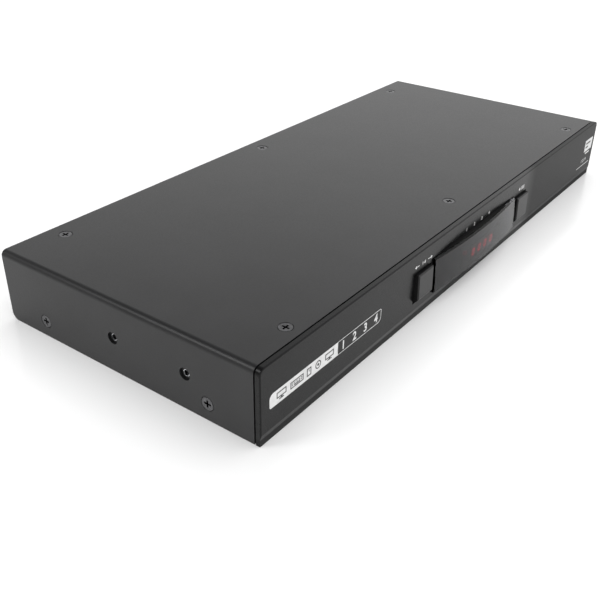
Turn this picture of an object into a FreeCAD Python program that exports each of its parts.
import FreeCAD, Part
import Sketcher
import os
from math import atan2, hypot, sqrt
from types import SimpleNamespace

# A one-unit keyboard, video and mouse switch for four computers, in millimetres.
# +X runs across the front, +Y from the front to the rear, +Z up.
# The origin is the centre of the chassis underside.

SIZES = {
    # enclosure
    "case_width": (432, "over the cover's two sides"),
    "case_height": (44, "underside to the cover's top"),
    "case_depth": (185.5, "bezel's front face to the rear panel's outer face"),
    "steel": (1.2, "sheet thickness of cover and chassis"),
    "cover_bend": (3.5, "outer bend radius of the cover"),
    "cover_heel": (4.5, "corner radius of a cover side, rear and bottom"),
    "cover_fit": (0.2, "play between cover side and chassis side"),
    "fold_radius": (2.0, "outer bend radius of the chassis"),
    "side_rise": (32, "height of the chassis sides"),
    "front_ledge": (22.5, "depth of the ledge folded back from the front wall"),
    "rear_ledge": (20, "depth of the ledge folded forward from the rear panel"),
    # bezel
    "bezel_thick": (3.1, "front moulding"),
    "bezel_gap": (0.9, "shadow gap between bezel and cover"),
    "bezel_edge": (0.7, "rounding of the bezel's front edges"),
    "strip_rise": (3.8, "height of the set-back strip along the bottom"),
    "strip_set": (0.6, "how far that strip is set back"),
    "strip_slope": (2.8, "height over which the face slopes back to that strip"),
    "bezel_screw_row": (4, "lower bezel screws, above that slope"),
    "bezel_screw_drop": (10, "upper bezel screws, below the top"),
    "bezel_screw_side": (12, "outer bezel screws, from the side"),
    "bezel_screw_apart": (24, "inner bezel screws, beside the housing plate"),
    # cover fasteners
    "lid_screw_across": (180.5, "outer lid screws, from the middle"),
    "lid_screw_rear": (11.7, "rear row, from the rear face"),
    "lid_screw_front": (13.1, "front corner screws, from the front face"),
    "lid_screw_mid": (20.9, "middle front screw, from the front face"),
    "side_screw_up": (9.75, "side screws, above the underside"),
    "side_screw_rear": (31.5, "rear side screw, from the rear face"),
    "side_screw_front": (33.3, "front side screw, from the front face"),
    "ear_hole_up": (21.4, "rack ear holes, above the underside"),
    "ear_hole_front": (47.2, "front rack ear hole, from the front face"),
    "ear_hole_pitch": (50.9, "between the two rack ear holes"),
    "ear_hole_radius": (3.5, "hole in the cover at a rack ear nut"),
    "ear_thread_radius": (1.65, "tapped hole of a rack ear nut"),
    "head_radius": (3.65, "countersunk head"),
    "head_rim": (0.2, "straight rim of that head"),
    "head_drop": (0.2, "head below the sheet's face"),
    "shank_radius": (1.95, "lid screw thread"),
    "screw_reach": (8, "overall length of a lid screw"),
    "sink_radius": (4.2, "mouth of a countersink"),
    "sink_hole": (2.15, "hole under a countersink"),
    "cross_span": (4.4, "arms of the cross recess"),
    "cross_width": (1.1, "width of an arm"),
    "cross_depth": (1.5, "depth of the recess"),
    "nut_radius": (3.5, "press nut"),
    "nut_rise": (3, "press nut height"),
    "nut_bore": (2.0, "press nut bore"),
    # keys
    "key_web": (2.15, "bezel left between the window's opening and a key's hole"),
    "key_up": (21.65, "middle of a key, above the underside"),
    "key_width": (17, "key cap"),
    "key_rise": (18.2, "key cap height"),
    "key_play": (0.95, "gap round a key cap"),
    "key_proud": (2.55, "key's upper edge in front of the bezel"),
    "key_proud_low": (3.1, "key's lower edge in front of the bezel"),
    "key_ramp": (2.0, "how far the key's underside climbs to its face"),
    "key_wall": (1.6, "wall of the hollow key cap"),
    "key_bevel": (0.7, "bevel round the key's face"),
    "key_travel": (0.8, "how far a key goes in"),
    "key_rim": (0.8, "how far the key's rim overlaps its hole"),
    "key_rim_thick": (1.0, "that rim"),
    "key_post": (2.5, "radius of the post that meets the plunger"),
    "key_rest": (0.1, "play between that rim and the housing plate"),
    # display window
    "lens_width": (112, "window"),
    "lens_low": (10.2, "window's lower edge, above the underside"),
    "lens_high": (33, "window's upper edge"),
    "lens_bow": (3.1, "how far the middle stands in front of the ends"),
    "lens_out_low": (2.8, "lower corners in front of the bezel"),
    "lens_out_high": (1.4, "upper corners in front of the bezel"),
    "lens_thick": (1.8, "window's thickness"),
    "lens_edge": (1.0, "bevel of the window's long edges"),
    "lens_seat": (0.1, "adhesive between window and housing"),
    "lens_play": (0.4, "gap between window and bezel"),
    # housing behind the window
    "plate_margin": (5.75, "housing plate beside a key's rim"),
    "plate_low": (6.8, "plate's lower edge"),
    "plate_high": (36, "plate's upper edge"),
    "plate_thick": (1.5, "plate"),
    "module_screw_edge": (2.7, "module screws, from the plate's ends"),
    "module_screw_row": (5, "module screws, from the plate's long edges"),
    "housing_set": (0.3, "housing inside the window's edges"),
    "pocket_left": (-24, "display pocket"),
    "pocket_right": (30, "display pocket"),
    "pocket_low": (12.2, "display pocket"),
    "pocket_high": (25.2, "display pocket"),
    # front board
    "front_board_set": (8.75, "front board's face, behind the bezel's face"),
    "front_board_inset": (5, "front board inside the housing plate's ends"),
    "front_board_low": (8, "front board"),
    "front_board_high": (35, "front board"),
    "board_thick": (1.6, "both boards"),
    "digit_first": (-6.3, "middle of the first digit"),
    "digit_pitch": (8.25, "between digits"),
    "digit_up": (17.7, "middle of the digits"),
    "digit_width": (7.8, "digit module"),
    "digit_rise": (10, "digit module"),
    "digit_deep": (10.6, "digit module with its socket"),
    "lamp_out": (-14.4, "indicator lamp"),
    "lamp_up": (19.6, "indicator lamp"),
    "lamp_radius": (1.5, "indicator lamp"),
    "switch_side": (6, "key switch body"),
    "switch_deep": (3.5, "key switch body"),
    "plunger_radius": (1.7, "key switch plunger"),
    "plunger_out": (1.75, "plunger in front of the switch body"),
    "plunger_in": (2.0, "plunger inside the switch body"),
    "guide_spare": (0.2, "room behind a fully pressed plunger"),
    "slide_play": (0.05, "radial play of a sliding or threaded fit"),
    "small_screw_radius": (1.25, "front module screws"),
    "small_head_radius": (2.3, "front module screws"),
    "small_head_rise": (1.5, "front module screws"),
    "small_screw_play": (0.25, "clearance hole round such a screw"),
    "pilot_skin": (0.7, "bezel left in front of a blind hole"),
    "thread_short": (0.3, "thread short of its blind hole's end"),
    "boss_radius": (3, "board bosses on the housing"),
    "boss_apart": (7.75, "those bosses, inward of a key's rim"),
    "boss_row": (3.5, "those bosses, from the front board's long edges"),
    # main board
    "standoff_rise": (6, "standoff"),
    "standoff_radius": (3.2, "standoff, over its corners"),
    "main_board_width": (412, "main board"),
    "main_board_front": (-28, "main board's front edge"),
    "board_rear_gap": (0.5, "main board to the rear panel"),
    # rear connectors
    "port_up": (6.5, "video port's axis above the main board"),
    "video_spread": (33.3, "between a video port's two posts"),
    "channel_first": (-42, "first computer's group of ports"),
    "channel_pitch": (70, "between computers"),
    "panel_play": (0.3, "hole in the panel round a port"),
}

doc = FreeCAD.newDocument("kvm_switch")
sheet = doc.addObject("Spreadsheet::Sheet", "dims")
for row, (alias, (number, remark)) in enumerate(SIZES.items(), 1):
    sheet.set(f"A{row}", alias)
    sheet.set(f"B{row}", str(number))
    sheet.setAlias(f"B{row}", alias)
    sheet.set(f"C{row}", remark)
doc.recompute()


class Size:
    """A length that knows its number and the sheet expression that gives it."""

    def __init__(self, value, text):
        self.value = float(value)
        self.text = text

    def __add__(self, other):
        other = sized(other)
        return Size(self.value + other.value, f"({self.text} + {other.text})")

    def __sub__(self, other):
        other = sized(other)
        return Size(self.value - other.value, f"({self.text} - {other.text})")

    def __mul__(self, other):
        other = sized(other)
        return Size(self.value * other.value, f"({self.text} * {other.text})")

    def __truediv__(self, other):
        other = sized(other)
        return Size(self.value / other.value, f"({self.text} / {other.text})")

    def __radd__(self, other):
        return sized(other) + self

    def __rsub__(self, other):
        return sized(other) - self

    def __rmul__(self, other):
        return sized(other) * self

    def __neg__(self):
        return Size(-self.value, f"(0 - {self.text})")


def sized(number):
    """A plain number as a Size."""
    return number if isinstance(number, Size) else Size(number, f"({float(number)})")


D = SimpleNamespace(**{alias: Size(number, f"dims.{alias}") for alias, (number, _) in SIZES.items()})

# ---------------------------------------------------------------- places worked out from the sizes
half_width = D.case_width / 2
front = -D.case_depth / 2
rear = D.case_depth / 2
bezel_back = front + D.bezel_thick
lid_under = D.case_height - D.steel
chassis_half = half_width - D.steel - D.cover_fit
wall_inside = chassis_half - D.steel
panel_inside = rear - D.steel
plate_back = bezel_back + D.plate_thick
front_board = front + D.front_board_set
lens_half = D.lens_width / 2
key_x = lens_half + D.lens_play + D.key_web + D.key_play + D.key_width / 2
key_reach = D.key_width / 2 + D.key_play + D.key_rim
plate_half = key_x + key_reach + D.plate_margin
front_board_half = plate_half - D.front_board_inset
board_under = D.steel + D.standoff_rise
board_top = board_under + D.board_thick

ACROSS = FreeCAD.Vector(1, 0, 0)
TURNS = {
    (0, 0, 1): FreeCAD.Rotation(ACROSS, 0),
    (0, 0, -1): FreeCAD.Rotation(ACROSS, 180),
    (0, 1, 0): FreeCAD.Rotation(ACROSS, -90),
    (0, -1, 0): FreeCAD.Rotation(ACROSS, 90),
    (1, 0, 0): FreeCAD.Rotation(FreeCAD.Vector(0, 1, 0), 90),
    (-1, 0, 0): FreeCAD.Rotation(FreeCAD.Vector(0, 1, 0), -90),
}
UP, DOWN = (0, 0, 1), (0, 0, -1)
BACK, FORTH = (0, 1, 0), (0, -1, 0)
RIGHT, LEFT = (1, 0, 0), (-1, 0, 0)


# ---------------------------------------------------------------- small tools
def bind(obj, prop, size):
    """Drive a property from the sheet."""
    obj.setExpression(prop, sized(size).text)


def place(obj, at, facing=UP):
    """Put an object's own origin at a point, with its +Z facing a direction."""
    point = [sized(value) for value in at]
    obj.Placement = FreeCAD.Placement(FreeCAD.Vector(*[p.value for p in point]), TURNS[facing])
    for letter, value in zip("xyz", point):
        bind(obj, f"Placement.Base.{letter}", value)
    return obj


def block(name, low, size):
    """A box from its lowest corner and its three sizes."""
    obj = doc.addObject("Part::Box", name)
    for prop, value in zip(("Length", "Width", "Height"), size):
        bind(obj, prop, value)
    return place(obj, low)


def centred(name, middle, low_y, size):
    """A box centred in X and Z about a point, starting at a Y."""
    low = (middle[0] - sized(size[0]) / 2, low_y, middle[1] - sized(size[2]) / 2)
    return block(name, low, size)


def rod(name, at, radius, length, facing=UP):
    """A cylinder that starts at a point and runs the way it faces."""
    obj = doc.addObject("Part::Cylinder", name)
    bind(obj, "Radius", radius)
    bind(obj, "Height", length)
    return place(obj, at, facing)


def taper(name, at, start, end, length, facing=UP):
    """A cone from one radius to another."""
    obj = doc.addObject("Part::Cone", name)
    bind(obj, "Radius1", start)
    bind(obj, "Radius2", end)
    bind(obj, "Height", length)
    return place(obj, at, facing)


def hexagon(name, at, radius, length, facing=UP):
    """A six-sided prism, sized over its corners."""
    obj = doc.addObject("Part::Prism", name)
    obj.Polygon = 6
    bind(obj, "Circumradius", radius)
    bind(obj, "Height", length)
    return place(obj, at, facing)


def fuse(name, *parts):
    obj = doc.addObject("Part::MultiFuse", name)
    obj.Shapes = list(parts)
    return obj


def group(name, parts):
    """Separate solids kept together."""
    obj = doc.addObject("Part::Compound", name)
    obj.Links = list(parts)
    return obj


def cut(name, base, *tools):
    """A piece with tools taken out of it."""
    obj = doc.addObject("Part::Cut", name)
    obj.Base = base
    obj.Tool = tools[0] if len(tools) == 1 else fuse(f"{name}_tools", *tools)
    return obj


def copy(name, master, at, facing=UP):
    """The same piece at another place."""
    return place(group(name, [master]), at, facing)


def along(point, facing, distance):
    """A point moved the way something faces."""
    return tuple(sized(p) + sized(distance) * step for p, step in zip(point, facing))


def arc_middle(start, end, radius, turn):
    """Centre of the arc from start to end, on its left for a turn of 1 and its right for -1."""
    span_x, span_y = end[0] - start[0], end[1] - start[1]
    span = hypot(span_x, span_y)
    offset = turn * sqrt(max(radius * radius - span * span / 4, 0.0))
    middle_x, middle_y = (start[0] + end[0]) / 2, (start[1] + end[1]) / 2
    return middle_x - span_y / span * offset, middle_y + span_x / span * offset


def draw(sketch, outline):
    """A closed outline of corners (a, b), or (a, b, radius, turn) where an arc leaves the corner."""
    corners = [(sized(corner[0]), sized(corner[1])) for corner in outline]
    ends = []
    for number, corner in enumerate(outline):
        start = [value.value for value in corners[number]]
        end = [value.value for value in corners[(number + 1) % len(corners)]]
        if len(corner) == 2:
            line = Part.LineSegment(FreeCAD.Vector(*start, 0), FreeCAD.Vector(*end, 0))
            ends.append((sketch.addGeometry(line), 1, 2))
            continue
        radius, turn = sized(corner[2]), corner[3]
        middle = arc_middle(start, end, radius.value, turn)
        circle = Part.Circle(FreeCAD.Vector(*middle, 0), FreeCAD.Vector(0, 0, 1), radius.value)
        first, last = (start, end) if turn > 0 else (end, start)
        angles = [atan2(point[1] - middle[1], point[0] - middle[0]) for point in (first, last)]
        edge = sketch.addGeometry(Part.ArcOfCircle(circle, *angles))
        bound = sketch.addConstraint(Sketcher.Constraint("Radius", edge, radius.value))
        bind(sketch, f"Constraints[{bound}]", radius)
        ends.append((edge, 1, 2) if turn > 0 else (edge, 2, 1))
    for number, (edge, start, end) in enumerate(ends):
        following = ends[(number + 1) % len(ends)]
        sketch.addConstraint(Sketcher.Constraint("Coincident", edge, end, following[0], following[1]))
        for kind, value in zip(("DistanceX", "DistanceY"), corners[number]):
            bound = sketch.addConstraint(Sketcher.Constraint(kind, -1, 1, edge, start, value.value))
            bind(sketch, f"Constraints[{bound}]", value)


def sketch_in(body, name, plane, offset, outline):
    """A sketch on one of the body's origin planes, moved along +X, +Y or +Z by an offset."""
    sketch = body.newObject("Sketcher::SketchObject", name)
    role = {"X": "YZ_Plane", "Y": "XZ_Plane", "Z": "XY_Plane"}[plane]
    origin_plane = [item for item in body.Origin.OriginFeatures if item.Role == role][0]
    sketch.AttachmentSupport = [(origin_plane, "")]
    sketch.MapMode = "FlatFace"
    # the XZ plane's normal is -Y
    bind(sketch, "AttachmentOffset.Base.z", -sized(offset) if plane == "Y" else offset)
    draw(sketch, outline)
    return sketch


def padded(name, plane, outline, start, length):
    """A body with one outline padded along +X, +Y or +Z from a start."""
    body = doc.addObject("PartDesign::Body", name)
    sketch = sketch_in(body, f"{name}_sketch", plane, start, outline)
    pad = body.newObject("PartDesign::Pad", f"{name}_pad")
    pad.Profile = sketch
    pad.Reversed = plane == "Y"
    bind(pad, "Length", length)
    sketch.Visibility = False
    return body


def lofted(name, levels):
    """A body that runs straight from each level's outline to the next, from the bottom up."""
    body = doc.addObject("PartDesign::Body", name)
    loft = body.newObject("PartDesign::AdditiveLoft", f"{name}_loft")
    sketches = [sketch_in(body, f"{name}_level_{n}", "Z", level, outline)
                for n, (level, outline) in enumerate(levels)]
    loft.Profile = sketches[0]
    loft.Sections = sketches[1:]
    loft.Ruled = True
    body.Tip = loft
    return body


def finish_edges(body, kind, size, wanted):
    """Round or bevel the edges of a body whose boxes pass a test."""
    doc.recompute()
    base = body.Tip
    names = [f"Edge{n}" for n, edge in enumerate(base.Shape.Edges, 1) if wanted(edge.BoundBox)]
    feature = body.newObject(f"PartDesign::{kind}", f"{body.Name}_{kind.lower()}")
    feature.Base = (base, names)
    bind(feature, "Radius" if kind == "Fillet" else "Size", size)
    return body


NODES = {}


def node(name, piece):
    """Give a finished piece its node name."""
    piece.Label = name
    NODES[name] = piece
    return piece


# ---------------------------------------------------------------- fasteners of the cover
sink_run = D.sink_radius - D.sink_hole
sink_tool = fuse(
    "countersink_tool",
    taper("countersink_cone", (0, 0, 0), D.sink_radius, D.sink_hole, sink_run),
    rod("countersink_hole", (0, 0, 0), D.sink_hole, D.screw_reach),
)
head_run = D.head_radius - D.shank_radius
screw_solid = fuse(
    "lid_screw_solid",
    rod("lid_screw_rim", (0, 0, D.head_drop), D.head_radius, D.head_rim),
    taper("lid_screw_head", (0, 0, D.head_drop + D.head_rim), D.head_radius, D.shank_radius, head_run),
    rod("lid_screw_shank", (0, 0, D.head_drop), D.shank_radius, D.screw_reach - D.head_drop),
)
lid_screw = cut(
    "lid_screw_master",
    screw_solid,
    block("lid_screw_slot_a", (-D.cross_span / 2, -D.cross_width / 2, 0),
          (D.cross_span, D.cross_width, D.cross_depth + D.head_drop)),
    block("lid_screw_slot_b", (-D.cross_width / 2, -D.cross_span / 2, 0),
          (D.cross_width, D.cross_span, D.cross_depth + D.head_drop)),
)
press_nut = cut(
    "press_nut_master",
    rod("press_nut_blank", (0, 0, 0), D.nut_radius, D.nut_rise),
    rod("press_nut_hole", (0, 0, 0), D.nut_bore, D.nut_rise),
)
ear_nut = cut(
    "ear_nut_master",
    rod("ear_nut_blank", (0, 0, 0), D.nut_radius, D.nut_rise),
    rod("ear_nut_hole", (0, 0, 0), D.ear_thread_radius, D.nut_rise),
)

lid_spots = [
    (-D.lid_screw_across, rear - D.lid_screw_rear),
    (0, rear - D.lid_screw_rear),
    (D.lid_screw_across, rear - D.lid_screw_rear),
    (-D.lid_screw_across, front + D.lid_screw_front),
    (0, front + D.lid_screw_mid),
    (D.lid_screw_across, front + D.lid_screw_front),
]
side_spots = [
    (x, y, D.side_screw_up, inward)
    for x, inward in ((-half_width, RIGHT), (half_width, LEFT))
    for y in (front + D.side_screw_front, rear - D.side_screw_rear)
]
ear_spots = [
    (x, front + D.ear_hole_front + D.ear_hole_pitch * n, D.ear_hole_up, inward)
    for x, inward in ((-half_width, RIGHT), (half_width, LEFT))
    for n in (0, 1)
]

sink_tools = [copy(f"lid_sink_{n}", sink_tool, (x, y, D.case_height), DOWN)
              for n, (x, y) in enumerate(lid_spots)]
sink_tools += [copy(f"side_sink_{n}", sink_tool, (x, y, z), inward)
               for n, (x, y, z, inward) in enumerate(side_spots)]
sinks = group("countersinks", sink_tools)
ear_depth = D.steel + D.cover_fit

node("lid_screws", group("lid_screw_set", [
    copy(f"lid_screw_{n}", lid_screw, (x, y, D.case_height), DOWN) for n, (x, y) in enumerate(lid_spots)]))
node("side_screws", group("side_screw_set", [
    copy(f"side_screw_{n}", lid_screw, (x, y, z), inward)
    for n, (x, y, z, inward) in enumerate(side_spots)]))
node("lid_nuts", group("lid_nut_set", [
    copy(f"lid_nut_{n}", press_nut, (x, y, lid_under - D.steel), DOWN)
    for n, (x, y) in enumerate(lid_spots)]))
side_seat = D.steel + D.cover_fit + D.steel
node("side_nuts", group("side_nut_set", [
    copy(f"side_nut_{n}", press_nut, along((x, y, z), inward, side_seat), inward)
    for n, (x, y, z, inward) in enumerate(side_spots)]))
node("rack_ear_nuts", group("rack_ear_nut_set", [
    copy(f"rack_ear_nut_{n}", ear_nut, along((x, y, z), inward, side_seat), inward)
    for n, (x, y, z, inward) in enumerate(ear_spots)]))


# ---------------------------------------------------------------- top cover, a bent U of sheet
def arch(half, top, bend, low=0):
    """Points of an upside-down U from its left foot to its right foot, corners rounded."""
    return [
        (-half, low),
        (-half, top - bend, bend, -1),
        (-half + bend, top),
        (half - bend, top, bend, -1),
        (half, top - bend),
        (half, low),
    ]


inner_bend = D.cover_bend - D.steel
inner_half = half_width - D.steel
cover_outline = arch(half_width, D.case_height, D.cover_bend) + [
    (inner_half, 0),
    (inner_half, lid_under - inner_bend, inner_bend, 1),
    (inner_half - inner_bend, lid_under),
    (-inner_half + inner_bend, lid_under, inner_bend, 1),
    (-inner_half, lid_under - inner_bend),
    (-inner_half, 0),
]
cover_front = bezel_back + D.bezel_gap
cover_blank = padded("cover_blank", "Y", cover_outline, cover_front, rear - cover_front)
finish_edges(
    cover_blank, "Fillet", D.cover_heel,
    lambda edge: edge.YMin > rear.value - 0.01 and edge.ZMax < 0.01 and edge.XLength < 2 * D.steel.value,
)
ear_holes = [rod(f"ear_hole_{n}", (x, y, z), D.ear_hole_radius, ear_depth, inward)
             for n, (x, y, z, inward) in enumerate(ear_spots)]
node("top_cover", cut("cover_cut", cover_blank, sinks, *ear_holes))

# ---------------------------------------------------------------- chassis, folded from one sheet
fold, inner_fold = D.fold_radius, D.fold_radius - D.steel
chassis_front = bezel_back
chassis_outline = [
    (chassis_front + D.front_ledge, lid_under),
    (chassis_front + fold, lid_under, fold, 1),
    (chassis_front, lid_under - fold),
    (chassis_front, fold, fold, 1),
    (chassis_front + fold, 0),
    (rear - fold, 0, fold, 1),
    (rear, fold),
    (rear, lid_under - fold, fold, 1),
    (rear - fold, lid_under),
    (rear - D.rear_ledge, lid_under),
    (rear - D.rear_ledge, lid_under - D.steel),
    (rear - fold, lid_under - D.steel, inner_fold, -1),
    (rear - D.steel, lid_under - fold),
    (rear - D.steel, fold, inner_fold, -1),
    (rear - fold, D.steel),
    (chassis_front + fold, D.steel, inner_fold, -1),
    (chassis_front + D.steel, fold),
    (chassis_front + D.steel, lid_under - fold, inner_fold, -1),
    (chassis_front + fold, lid_under - D.steel),
    (chassis_front + D.front_ledge, lid_under - D.steel),
]
chassis_strip = padded("chassis_strip", "X", chassis_outline, -chassis_half, chassis_half * 2)
side_from = chassis_front + fold
side_run = rear - fold - side_from
chassis_sides = [
    block(f"chassis_side_{n}", (x, side_from, 0), (D.steel, side_run, D.side_rise))
    for n, x in enumerate((-chassis_half, wall_inside))
]
chassis_blank = fuse("chassis_blank", chassis_strip, *chassis_sides)
corner_low, corner_out = lid_under - inner_bend, inner_half - inner_bend
corner_cuts = [
    block(f"chassis_corner_{n}", (x, chassis_front, corner_low), (inner_bend, D.case_depth, inner_bend))
    for n, x in enumerate((-inner_half, corner_out))
]

ear_taps = [rod(f"ear_tap_{n}", along((x, y, z), inward, ear_depth), D.ear_thread_radius, D.steel, inward)
            for n, (x, y, z, inward) in enumerate(ear_spots)]

# module window in the front wall, and its screws
module_play = 1.0
module_window = block(
    "module_window",
    (-plate_half - module_play, chassis_front, D.plate_low - module_play),
    (plate_half * 2 + module_play * 2, D.steel, D.plate_high - D.plate_low + module_play * 2),
)
bezel_screw_out, bezel_screw_in = half_width - D.bezel_screw_side, plate_half + D.bezel_screw_apart
face_low = D.strip_rise + D.strip_slope
bezel_screw_rows = (face_low + D.bezel_screw_row, D.case_height - D.bezel_screw_drop)
bezel_spots = [(sign * x, z) for sign in (-1, 1) for x in (bezel_screw_in, bezel_screw_out)
               for z in bezel_screw_rows]
bezel_clear = D.small_screw_radius + D.small_screw_play
bezel_holes = [rod(f"bezel_hole_{n}", (x, chassis_front, z), bezel_clear, D.steel, BACK)
               for n, (x, z) in enumerate(bezel_spots)]
hole_reach = D.bezel_thick - D.pilot_skin
thread_reach = hole_reach - D.thread_short


def pan_screw(name, radius, head_radius, head_rise, reach):
    """A pan-head screw: thread along +Z from the head's seat at the origin."""
    return fuse(
        name,
        rod(f"{name}_head", (0, 0, 0), head_radius, head_rise, DOWN),
        rod(f"{name}_thread", (0, 0, 0), radius, reach),
    )


bezel_screw = pan_screw("bezel_screw_master", D.small_screw_radius, D.small_head_radius,
                        D.small_head_rise, D.steel + thread_reach)
node("bezel_screws", group("bezel_screw_set", [
    copy(f"bezel_screw_{n}", bezel_screw, (x, chassis_front + D.steel, z), FORTH)
    for n, (x, z) in enumerate(bezel_spots)]))

# ---------------------------------------------------------------- rear ports: where they sit
port_z = board_top + D.port_up
video_out, usb_out, sound_out = 12, -18, -31
channels = [D.channel_first + D.channel_pitch * n for n in range(4)]
console_x = channels[0] - D.channel_pitch + 6
video_spots = [console_x] + [x + video_out for x in channels]
usb_spots = [x + usb_out for x in channels]
stack_spots = [console_x - 30, console_x - 48]
sound_spots = [console_x - 64] + [x + sound_out for x in channels]
service_x = console_x - 78
power_x = console_x - 93.5

shell_width, shell_rise = 26.0, 9.0
video_cut = (shell_width + D.panel_play * 4, D.steel, shell_rise + D.panel_play * 4)
usb_width, usb_rise, usb_deep = 12.0, 11.0, 17.0
stack_width, stack_rise, stack_deep = 14.5, 16.0, 18.0
sound_width, sound_rise, sound_deep, sound_nose = 9.0, 11.0, 12.0, 3.0
service_width, service_rise, service_deep = 15.5, 13.5, 16.0
power_width, power_rise, power_deep = 9.0, 11.0, 14.0
proud = 1.5
post_hole = 1.75


def panel_hole(name, x, z, width, rise):
    """A rectangular hole through the rear panel with play all round."""
    play = D.panel_play * 2
    return centred(name, (sized(x), z), panel_inside, (width + play, D.steel, rise + play))


usb_z = board_top + usb_rise / 2
stack_z = board_top + stack_rise / 2
sound_z = board_top + sound_rise / 2
service_z = board_top + service_rise / 2
power_z = board_top + power_rise / 2
panel_holes = [centred(f"video_cut_{n}", (sized(x), port_z), panel_inside, video_cut)
               for n, x in enumerate(video_spots)]
panel_holes += [
    rod(f"post_hole_{n}_{side}", (x + D.video_spread * side / 2, panel_inside, port_z),
        post_hole, D.steel, BACK)
    for n, x in enumerate(video_spots) for side in (-1, 1)
]
panel_holes += [panel_hole(f"usb_cut_{n}", x, usb_z, usb_width, usb_rise)
                for n, x in enumerate(usb_spots)]
panel_holes += [panel_hole(f"stack_cut_{n}", x, stack_z, stack_width, stack_rise)
                for n, x in enumerate(stack_spots)]
panel_holes += [rod(f"sound_cut_{n}", (x, panel_inside, sound_z), sound_nose + D.panel_play, D.steel, BACK)
                for n, x in enumerate(sound_spots)]
panel_holes.append(panel_hole("service_cut", service_x, service_z, service_width, service_rise))
panel_holes.append(panel_hole("power_cut", power_x, power_z, power_width, power_rise))

node("base_chassis", cut("chassis_cut", chassis_blank, sinks, *corner_cuts, *ear_taps, module_window,
                         *bezel_holes, *panel_holes))

# ---------------------------------------------------------------- front bezel
bezel_outline = arch(half_width, D.case_height, D.cover_bend)
bezel_blank = padded("bezel_blank", "Y", bezel_outline, front, D.bezel_thick)
finish_edges(
    bezel_blank, "Fillet", D.bezel_edge,
    lambda edge: edge.YMax < front.value + 0.01 and edge.ZMax > 0.01,
)
strip_back = front + D.strip_set
strip_outline = [(front, 0), (strip_back, 0), (strip_back, D.strip_rise), (front, face_low)]
strip = padded("bezel_strip", "X", strip_outline, -half_width, D.case_width)
lens_rise = D.lens_high - D.lens_low
display_hole = block(
    "display_hole",
    (-lens_half - D.lens_play, front, D.lens_low - D.lens_play),
    (D.lens_width + D.lens_play * 2, D.bezel_thick, lens_rise + D.lens_play * 2),
)
key_hole_size = (D.key_width + D.key_play * 2, D.bezel_thick, D.key_rise + D.key_play * 2)
key_sides = {"select": -key_x, "mode": key_x}
key_windows = [centred(f"{name}_key_window", (x, D.key_up), front, key_hole_size)
               for name, x in key_sides.items()]
module_screw_x = plate_half - D.module_screw_edge
module_rows = (D.plate_low + D.module_screw_row, D.plate_high - D.module_screw_row)
module_spots = [(sign * module_screw_x, z) for sign in (-1, 1) for z in module_rows]
pilot = D.small_screw_radius + D.slide_play
bezel_pilots = [rod(f"bezel_pilot_{n}", (x, bezel_back, z), pilot, hole_reach, FORTH)
                for n, (x, z) in enumerate(bezel_spots + module_spots)]
node("front_bezel", cut("bezel_cut", bezel_blank, strip, display_hole, *key_windows, *bezel_pilots))


# ---------------------------------------------------------------- display window and its housing
def bow_radius():
    """Radius of the bow from its chord and its rise."""
    return (lens_half * lens_half + D.lens_bow * D.lens_bow) / (D.lens_bow * 2)


def window_outline(out, bevel=0):
    """Level section of the window: two equal arcs a thickness apart."""
    face, inside = front - out + bevel, front - out + D.lens_thick
    radius = bow_radius()
    return [(-lens_half, inside, radius, 1), (lens_half, inside), (lens_half, face, radius, -1),
            (-lens_half, face)]


def housing_outline(out):
    """Level section of the housing's nose, behind the window."""
    face = front - out + D.lens_thick + D.lens_seat
    return [(-lens_half, plate_back), (lens_half, plate_back), (lens_half, face, bow_radius(), -1),
            (-lens_half, face)]


tilt = (D.lens_out_low - D.lens_out_high) / lens_rise
edge_tilt = tilt * D.lens_edge
node("display_window", lofted("lens_blank", [
    (D.lens_low, window_outline(D.lens_out_low, D.lens_edge)),
    (D.lens_low + D.lens_edge, window_outline(D.lens_out_low - edge_tilt)),
    (D.lens_high - D.lens_edge, window_outline(D.lens_out_high + edge_tilt)),
    (D.lens_high, window_outline(D.lens_out_high, D.lens_edge)),
]))

housing_low, housing_high = D.lens_low + D.housing_set, D.lens_high - D.housing_set
housing_tilt = tilt * D.housing_set
housing_nose = lofted("housing_nose", [
    (housing_low, housing_outline(D.lens_out_low - housing_tilt)),
    (housing_high, housing_outline(D.lens_out_high + housing_tilt)),
])
housing_plate = block(
    "housing_plate", (-plate_half, bezel_back, D.plate_low),
    (plate_half * 2, D.plate_thick, D.plate_high - D.plate_low),
)
boss_x = key_x - key_reach - D.boss_apart
boss_rows = (D.front_board_low + D.boss_row, D.front_board_high - D.boss_row)
boss_spots = [(sign * boss_x, z) for sign in (-1, 1) for z in boss_rows]
boss_run = front_board - plate_back
bosses = [rod(f"housing_boss_{n}", (x, plate_back, z), D.boss_radius, boss_run, BACK)
          for n, (x, z) in enumerate(boss_spots)]
housing_blank = fuse("housing_blank", housing_nose, housing_plate, *bosses)
nose_reach = D.lens_out_low + D.lens_bow + D.bezel_thick + D.plate_thick
pocket = block(
    "display_pocket", (D.pocket_left, plate_back - nose_reach, D.pocket_low),
    (D.pocket_right - D.pocket_left, nose_reach, D.pocket_high - D.pocket_low),
)
key_guides = [
    centred(f"{name}_key_guide", (x, D.key_up), bezel_back,
            (key_hole_size[0], D.plate_thick, key_hole_size[2]))
    for name, x in key_sides.items()
]
module_clear = [rod(f"module_clear_{n}", (x, bezel_back, z), bezel_clear, D.plate_thick, BACK)
                for n, (x, z) in enumerate(module_spots)]
boss_pilot_run = boss_run - D.thread_short
boss_pilots = [rod(f"boss_pilot_{n}", (x, front_board, z), pilot, boss_pilot_run, FORTH)
               for n, (x, z) in enumerate(boss_spots)]
node("display_housing", cut("housing_cut", housing_blank, pocket, *key_guides, *module_clear, *boss_pilots))
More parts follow.
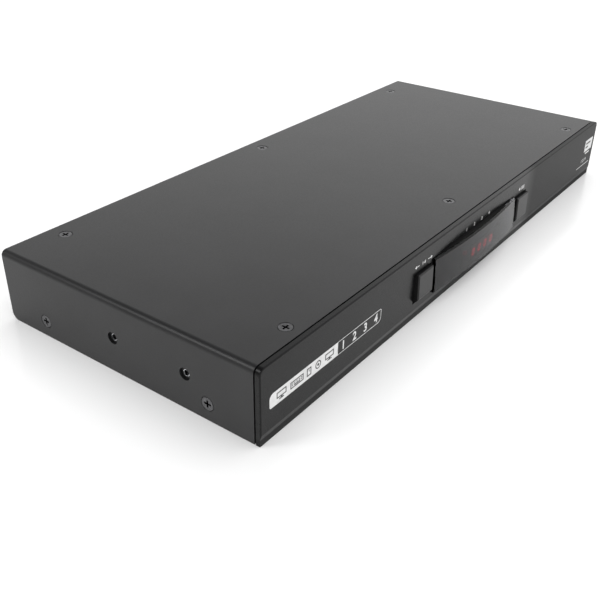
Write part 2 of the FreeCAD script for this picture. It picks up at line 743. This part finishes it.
module_screw = pan_screw("module_screw_master", D.small_screw_radius, D.small_head_radius,
                         D.small_head_rise, D.plate_thick + thread_reach)
node("module_screws", group("module_screw_set", [
    copy(f"module_screw_{n}", module_screw, (x, plate_back, z), FORTH)
    for n, (x, z) in enumerate(module_spots)]))


# ---------------------------------------------------------------- keys and their switches
key_face = front - D.key_proud
key_lip = front - D.key_proud_low
rim_front = plate_back + D.key_rest
rim_back = rim_front + D.key_rim_thick
switch_face = front_board - D.switch_deep
plunger_tip = switch_face - D.plunger_out
guide_bore = D.plunger_radius + D.slide_play


def key_cap(name, x):
    """A hollow cap with a retaining rim behind the housing plate and a post for the plunger."""
    low, high = D.key_up - D.key_rise / 2, D.key_up + D.key_rise / 2
    outline = [(rim_back, low), (rim_back, high), (key_face, high), (key_lip, low + D.key_ramp),
               (front, low)]
    cap = padded(f"{name}_cap", "X", outline, x - D.key_width / 2, D.key_width)
    finish_edges(cap, "Chamfer", D.key_bevel, lambda edge: edge.YMax < key_face.value + 0.01)
    reach = (D.key_play + D.key_rim) * 2
    rim = centred(f"{name}_rim", (x, D.key_up), rim_front,
                  (D.key_width + reach, D.key_rim_thick, D.key_rise + reach))
    hollow_from = key_face + D.key_wall
    hollow = centred(f"{name}_hollow", (x, D.key_up), hollow_from,
                     (D.key_width - D.key_wall * 2, rim_back - hollow_from, D.key_rise - D.key_wall * 2))
    shell = cut(f"{name}_shell", fuse(f"{name}_outside", cap, rim), hollow)
    post = rod(f"{name}_post", (x, hollow_from, D.key_up), D.key_post, plunger_tip - hollow_from, BACK)
    return fuse(f"{name}_cap_and_post", shell, post)


def key_switch(name, x):
    """A push switch body with a blind guide for its plunger."""
    body = centred(f"{name}_switch_block", (x, D.key_up), switch_face,
                   (D.switch_side, D.switch_deep, D.switch_side))
    guide_run = D.plunger_in + D.key_travel + D.guide_spare
    guide = rod(f"{name}_switch_guide", (x, switch_face, D.key_up), guide_bore, guide_run, BACK)
    return cut(f"{name}_switch_cut", body, guide)


for name, x in key_sides.items():
    node(f"{name}_key", key_cap(name, x))
    node(f"{name}_switch", key_switch(name, x))
    node(f"{name}_plunger", rod(f"{name}_plunger_rod", (x, plunger_tip, D.key_up), D.plunger_radius,
                                D.plunger_out + D.plunger_in, BACK))

# ---------------------------------------------------------------- front board and what it carries
front_board_blank = block(
    "front_board_blank", (-front_board_half, front_board, D.front_board_low),
    (front_board_half * 2, D.board_thick, D.front_board_high - D.front_board_low),
)
board_holes = [rod(f"front_board_hole_{n}", (x, front_board, z), bezel_clear, D.board_thick, BACK)
               for n, (x, z) in enumerate(boss_spots)]
node("front_board", cut("front_board_cut", front_board_blank, *board_holes))
board_screw_reach = D.board_thick + boss_pilot_run - D.thread_short
board_screw = pan_screw("front_board_screw_master", D.small_screw_radius, D.small_head_radius,
                        D.small_head_rise, board_screw_reach)
node("front_board_screws", group("front_board_screw_set", [
    copy(f"front_board_screw_{n}", board_screw, (x, front_board + D.board_thick, z), FORTH)
    for n, (x, z) in enumerate(boss_spots)]))
for n in range(4):
    middle = (D.digit_first + D.digit_pitch * n, D.digit_up)
    size = (D.digit_width, D.digit_deep, D.digit_rise)
    node(f"digit_{n + 1}", centred(f"digit_block_{n}", middle, front_board - D.digit_deep, size))
lamp_deep = D.digit_deep - 1
lamp_flange = 1.0
node("status_lamp", fuse(
    "status_lamp_solid",
    rod("status_lamp_flange", (D.lamp_out, front_board, D.lamp_up), D.lamp_radius + 0.4, lamp_flange, FORTH),
    rod("status_lamp_dome", (D.lamp_out, front_board, D.lamp_up), D.lamp_radius, lamp_deep, FORTH),
))

# ---------------------------------------------------------------- ribbon cable between the boards
ribbon_x, ribbon_width, ribbon_thick = -45, 25.0, 0.9
ribbon_up, ribbon_bend = 24.0, 6.0
header_width, header_deep, header_rise = 27.0, 6.5, 8.0
front_back = front_board + D.board_thick
node("front_header", centred("front_header_block", (sized(ribbon_x), sized(ribbon_up)), front_back,
                             (header_width, header_deep, header_rise)))
main_header_y = D.main_board_front + 8
node("main_header", block(
    "main_header_block", (ribbon_x - header_width / 2, main_header_y - header_rise / 2, board_top),
    (header_width, header_rise, header_deep),
))
ribbon_low, ribbon_high = ribbon_up - ribbon_thick / 2, ribbon_up + ribbon_thick / 2
ribbon_inner, ribbon_outer = main_header_y - ribbon_thick / 2, main_header_y + ribbon_thick / 2
ribbon_end = board_top + header_deep
tight, wide = ribbon_bend - ribbon_thick / 2, ribbon_bend + ribbon_thick / 2
ribbon_outline = [
    (front_back + header_deep, ribbon_low),
    (ribbon_inner - tight, ribbon_low, tight, -1),
    (ribbon_inner, ribbon_low - tight),
    (ribbon_inner, ribbon_end),
    (ribbon_outer, ribbon_end),
    (ribbon_outer, ribbon_high - wide, wide, 1),
    (ribbon_outer - wide, ribbon_high),
    (front_back + header_deep, ribbon_high),
]
node("ribbon_cable", padded("ribbon_blank", "X", ribbon_outline, ribbon_x - ribbon_width / 2, ribbon_width))

# ---------------------------------------------------------------- main board on its standoffs
main_board_run = panel_inside - D.board_rear_gap - D.main_board_front
standoff_hole, board_screw_clear = D.small_screw_radius + D.slide_play, D.small_screw_radius + 0.3
standoff_spots = [
    (x, y)
    for x in (-D.main_board_width / 2 + 8, -68, 68, D.main_board_width / 2 - 8)
    for y in (D.main_board_front + 8, panel_inside - 31)
]
standoff = cut(
    "standoff_master",
    hexagon("standoff_blank", (0, 0, 0), D.standoff_radius, D.standoff_rise),
    rod("standoff_bore", (0, 0, 0), standoff_hole, D.standoff_rise),
)
node("standoffs", group("standoff_set", [
    copy(f"standoff_{n}", standoff, (x, y, D.steel)) for n, (x, y) in enumerate(standoff_spots)]))
main_board_blank = block(
    "main_board_blank", (-D.main_board_width / 2, D.main_board_front, board_under),
    (D.main_board_width, main_board_run, D.board_thick),
)
main_holes = [rod(f"main_board_hole_{n}", (x, y, board_under), board_screw_clear, D.board_thick)
              for n, (x, y) in enumerate(standoff_spots)]
node("main_board", cut("main_board_cut", main_board_blank, *main_holes))
main_screw = pan_screw("main_screw_master", D.small_screw_radius, D.small_head_radius,
                       D.small_head_rise, D.board_thick + D.standoff_rise - 1)
node("main_board_screws", group("main_board_screw_set", [
    copy(f"main_board_screw_{n}", main_screw, (x, y, board_top), DOWN)
    for n, (x, y) in enumerate(standoff_spots)]))


# ---------------------------------------------------------------- rear connectors
def video_port():
    """Screened 29-way video port: body, flange, shell and contact block."""
    body_width, body_rise, body_deep = 37.0, 12.0, 12.0
    flange_width, flange_rise, flange_thick = 39.0, 12.6, 1.0
    shell_out, wall, recess = 4.8, 0.5, 0.8
    contact_width, contact_rise = shell_width - 3, shell_rise - 3
    reach = D.steel + shell_out
    body = centred("video_body", (sized(0), sized(0)), -(body_deep + flange_thick),
                   (body_width, body_deep, body_rise))
    flange = centred("video_flange", (sized(0), sized(0)), -flange_thick,
                     (flange_width, flange_thick, flange_rise))
    shell = centred("video_shell_outer", (sized(0), sized(0)), 0, (shell_width, reach, shell_rise))
    bore = centred("video_shell_bore", (sized(0), sized(0)), 0,
                   (shell_width - wall * 2, reach, shell_rise - wall * 2))
    contact = centred("video_contact", (sized(0), sized(0)), -0.5,
                      (contact_width, reach - recess + 0.5, contact_rise))
    solid = fuse("video_solid", body, flange, cut("video_shell", shell, bore), contact)
    holes = [rod(f"video_post_thread_{side}", (D.video_spread * side / 2, -flange_thick - 4, 0),
                 1.5, flange_thick + 4, BACK) for side in (-1, 1)]
    return cut("video_master", solid, *holes)


def usb_device_port():
    """Square upstream port with its tongue."""
    cavity_width, cavity_rise, cavity_deep = 8.5, 7.8, 9.0
    tongue_width, tongue_rise, tongue_deep = 5.6, 3.2, 8.0
    reach = D.steel + proud
    mouth = reach - cavity_deep
    shell = centred("usb_shell", (sized(0), sized(0)), reach - usb_deep, (usb_width, usb_deep, usb_rise))
    cavity = centred("usb_cavity", (sized(0), sized(0)), mouth, (cavity_width, cavity_deep, cavity_rise))
    tongue = centred("usb_tongue", (sized(0), sized(0)), mouth, (tongue_width, tongue_deep, tongue_rise))
    return fuse("usb_master", cut("usb_hollow", shell, cavity), tongue)


def usb_host_stack():
    """Two flat host sockets, one above the other."""
    cavity_width, cavity_rise, cavity_deep = 12.5, 5.1, 10.0
    tongue_width, tongue_rise, tongue_deep = 11.1, 1.8, 9.0
    spread, lift = 7.6, 1.1
    reach = D.steel + proud
    mouth = reach - cavity_deep
    shell = centred("stack_shell", (sized(0), sized(0)), reach - stack_deep,
                    (stack_width, stack_deep, stack_rise))
    cavities = [centred(f"stack_cavity_{side}", (sized(0), sized(spread * side / 2)), mouth,
                        (cavity_width, cavity_deep, cavity_rise)) for side in (-1, 1)]
    tongues = [centred(f"stack_tongue_{side}", (sized(0), sized(spread * side / 2 + lift)), mouth,
                       (tongue_width, tongue_deep, tongue_rise)) for side in (-1, 1)]
    return fuse("stack_master", cut("stack_hollow", shell, *cavities), *tongues)


def sound_jack():
    """Audio jack: block inside the panel, round nose through it."""
    bore_radius, bore_deep = 1.8, 12.0
    reach = D.steel + proud + 1
    body = centred("sound_block", (sized(0), sized(0)), -sound_deep, (sound_width, sound_deep, sound_rise))
    nose = rod("sound_nose", (0, -1, 0), sound_nose, reach + 1, BACK)
    bore = rod("sound_bore", (0, reach - bore_deep, 0), bore_radius, bore_deep, BACK)
    return cut("sound_master", fuse("sound_solid", body, nose), bore)


def service_port():
    """Modular socket for the service lead, with its latch slot."""
    cavity_width, cavity_rise, cavity_deep = 11.9, 7.2, 12.0
    latch_width, latch_rise = 6.2, 3.0
    reach = D.steel + proud
    mouth = reach - cavity_deep
    body = centred("service_block", (sized(0), sized(0)), reach - service_deep,
                   (service_width, service_deep, service_rise))
    cavity = centred("service_cavity", (sized(0), sized(-0.8)), mouth,
                     (cavity_width, cavity_deep, cavity_rise))
    latch = centred("service_latch", (sized(0), sized(cavity_rise / 2 + latch_rise / 2 - 0.9)), mouth,
                    (latch_width, cavity_deep, latch_rise))
    return cut("service_master", body, cavity, latch)


def power_inlet():
    """Round low-voltage inlet with its centre pin."""
    mouth_radius, pin_radius, mouth_deep = 3.1, 1.0, 9.5
    reach = D.steel + proud
    body = centred("power_block", (sized(0), sized(0)), reach - power_deep,
                   (power_width, power_deep, power_rise))
    mouth = rod("power_mouth", (0, reach - mouth_deep, 0), mouth_radius, mouth_deep, BACK)
    pin = rod("power_pin", (0, reach - mouth_deep - 1, 0), pin_radius, mouth_deep, BACK)
    return fuse("power_master", cut("power_hollow", body, mouth), pin)


video_master = video_port()
for n, x in enumerate(video_spots):
    label = "console_video_port" if n == 0 else f"computer_video_port_{n}"
    node(label, copy(f"video_port_{n}", video_master, (x, panel_inside, port_z)))
usb_master = usb_device_port()
for n, x in enumerate(usb_spots, 1):
    node(f"computer_usb_port_{n}", copy(f"usb_port_{n}", usb_master, (x, panel_inside, usb_z)))
stack_master = usb_host_stack()
for n, x in enumerate(stack_spots, 1):
    node(f"console_usb_stack_{n}", copy(f"usb_stack_{n}", stack_master, (x, panel_inside, stack_z)))
sound_master = sound_jack()
for n, x in enumerate(sound_spots):
    label = "console_audio_jack" if n == 0 else f"computer_audio_jack_{n}"
    node(label, copy(f"audio_jack_{n}", sound_master, (x, panel_inside, sound_z)))
node("service_port", copy("service_port_copy", service_port(), (service_x, panel_inside, service_z)))
node("power_inlet", copy("power_inlet_copy", power_inlet(), (power_x, panel_inside, power_z)))

post_out, post_radius, post_thread = 5.0, 2.9, 1.4
video_post = cut(
    "video_post_master",
    fuse("video_post_solid",
         hexagon("video_post_head", (0, 0, 0), post_radius, post_out),
         rod("video_post_stem", (0, 0, 0), post_thread, D.steel + 4, DOWN)),
    rod("video_post_bore", (0, 0, 1), 1.25, post_out - 1),
)
node("video_port_posts", group("video_post_set", [
    copy(f"video_post_{n}_{side}", video_post, (x + D.video_spread * side / 2, rear, port_z), BACK)
    for n, x in enumerate(video_spots) for side in (-1, 1)]))


# ---------------------------------------------------------------- parts on the main board
def chip(name, x, y, side, rise):
    """A square package standing on the main board."""
    return block(name, (x - side / 2, y - side / 2, board_top), (side, side, rise))


matrix_x, matrix_y, matrix_side, matrix_rise = 30.0, 22.0, 27.0, 2.4
node("video_matrix_chip", chip("matrix_block", matrix_x, matrix_y, matrix_side, matrix_rise))
fin_count, fin_thick, sink_base, sink_rise = 8, 1.1, 2.0, 12.0
sink_low = board_top + matrix_rise
fin_pitch = (matrix_side - fin_thick) / (fin_count - 1)
heat_base = block("heat_sink_base", (matrix_x - matrix_side / 2, matrix_y - matrix_side / 2, sink_low),
                  (matrix_side, matrix_side, sink_base))
fins = [
    block(f"heat_sink_fin_{n}", (matrix_x - matrix_side / 2 + fin_pitch * n, matrix_y - matrix_side / 2,
                                 sink_low), (fin_thick, matrix_side, sink_rise))
    for n in range(fin_count)
]
node("heat_sink", fuse("heat_sink_solid", heat_base, *fins))
node("controller_chip", chip("controller_block", -20.0, 10.0, 14.0, 1.4))
node("usb_hub_chips", group("usb_hub_set", [
    chip(f"usb_hub_{n}", x, 34.0, 9.0, 1.2) for n, x in enumerate((-110.0, -88.0))]))
node("video_receiver_chips", group("receiver_set", [
    chip(f"receiver_{n}", x + video_out, 50.0, 12.0, 1.4) for n, x in enumerate(channels)]))
cap_radius, cap_rise = 4.0, 11.0
node("power_capacitors", group("capacitor_set", [
    rod(f"capacitor_{n}", (-178.0 + 11.0 * n, 30.0, board_top), cap_radius, cap_rise) for n in range(4)]))
node("power_inductor", chip("inductor_block", -160.0, 6.0, 12.0, 6.5))
node("voltage_regulator", chip("regulator_block", -180.0, 6.0, 10.0, 4.4))
node("clock_crystals", group("crystal_set", [
    block(f"crystal_{n}", (x, 14.0, board_top), (11.0, 4.6, 3.5)) for n, x in enumerate((-42.0, 54.0))]))

# ---------------------------------------------------------------- checks, then one file per piece
doc.recompute()
for obj in doc.Objects:
    if "Invalid" in obj.State or "Error" in obj.State:
        raise RuntimeError(f"{obj.Name} did not rebuild: {obj.State}")
for name, piece in NODES.items():
    if piece.Label != name:
        raise RuntimeError(f"the name {name} is taken twice")
    if piece.Shape.isNull() or not piece.Shape.isValid() or not piece.Shape.Solids:
        raise RuntimeError(f"{name} has no valid solid")
os.makedirs("parts", exist_ok=True)
for name, piece in NODES.items():
    piece.Shape.exportStep(os.path.join("parts", f"{name}.step"))
    print(f"{name}: {len(piece.Shape.Solids)} solid(s), {piece.Shape.Volume:.1f} mm3")
print(len(NODES), "pieces")
